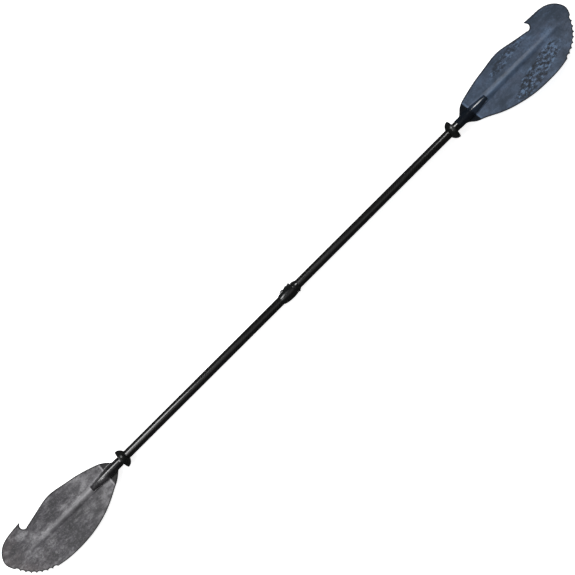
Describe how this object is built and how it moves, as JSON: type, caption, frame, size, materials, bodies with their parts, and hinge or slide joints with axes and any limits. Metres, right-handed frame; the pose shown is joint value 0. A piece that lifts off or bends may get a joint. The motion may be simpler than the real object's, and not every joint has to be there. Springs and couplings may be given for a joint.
{
  "type": "kayak paddle",
  "caption": "Double-bladed kayak paddle with a telescoping carbon shaft, a lever-lock feather joint, sliding drip rings and hooked, toothed blades.",
  "frame": {"origin": "on the shaft axis at the middle of the paddle, inside the clamp collar", "axes": "+X along the shaft to the right blade, +Y towards the hooked blade edges, +Z out of the power faces"},
  "size_m": [2.4002, 0.1861, 0.0628],
  "materials": {
    "blade_slate": "moulded glass-filled nylon, blue slate, satin",
    "blade_grey": "moulded glass-filled nylon, neutral grey, satin",
    "carbon_tube": "woven carbon fibre in clear resin, semi-gloss",
    "foam": "closed-cell foam, pale",
    "collar_nylon": "black moulded nylon, fine texture",
    "lever_nylon": "black moulded nylon, satin",
    "pin_steel": "stainless steel",
    "shoe_acetal": "natural acetal",
    "pad_rubber": "black rubber",
    "ferrule_glassfibre": "glass-fibre tube with a moulded keyway",
    "drip_rubber": "soft black rubber"
  },
  "bodies": {
    "left_half": {"left_blade": "blade_grey", "left_shaft_tube": "carbon_tube", "left_blade_bung": "foam", "left_shaft_bung": "foam", "clamp_collar": "collar_nylon", "lever_pivot_pin": "pin_steel"},
    "lever": {"cam_lever": "lever_nylon"},
    "shoe": {"clamp_shoe": "shoe_acetal", "shoe_friction_pad": "pad_rubber", "cam_wear_plate": "pin_steel"},
    "nose_ring": {"feather_index_ring": "collar_nylon", "wiper_o_ring": "pad_rubber"},
    "right_half": {"ferrule_tube": "ferrule_glassfibre", "ferrule_end_plug": "shoe_acetal", "right_shaft_tube": "carbon_tube", "right_blade_bung": "foam", "right_blade": "blade_slate"},
    "left_ring": {"left_drip_ring": "drip_rubber"},
    "right_ring": {"right_drip_ring": "drip_rubber"}
  },
  "joints": [
    {"name": "lever_pivot", "type": "hinge", "parent": "left_half", "child": "lever", "pos_m": [0.0075, 0.0213, 0], "axis": [0, 0, -1], "range_deg": [0, 115]},
    {"name": "shoe_lift", "type": "slide", "parent": "left_half", "child": "shoe", "axis": [0, 1, 0], "range_m": [0, 0.0009]},
    {"name": "feather_turn", "type": "hinge", "parent": "left_half", "child": "nose_ring", "pos_m": [0.024, 0, 0], "axis": [1, 0, 0], "continuous": true},
    {"name": "length_slide", "type": "slide", "parent": "nose_ring", "child": "right_half", "axis": [1, 0, 0], "range_m": [0, 0.1]},
    {"name": "left_ring_slide", "type": "slide", "parent": "left_half", "child": "left_ring", "axis": [1, 0, 0], "range_m": [-0.006, 0.65]},
    {"name": "right_ring_slide", "type": "slide", "parent": "right_half", "child": "right_ring", "axis": [-1, 0, 0], "range_m": [-0.015, 0.64]}
  ],
  "couplings": [
    {"joint": "shoe_lift", "follows": "lever_pivot", "m_per_rad": 0.0004}
  ]
}
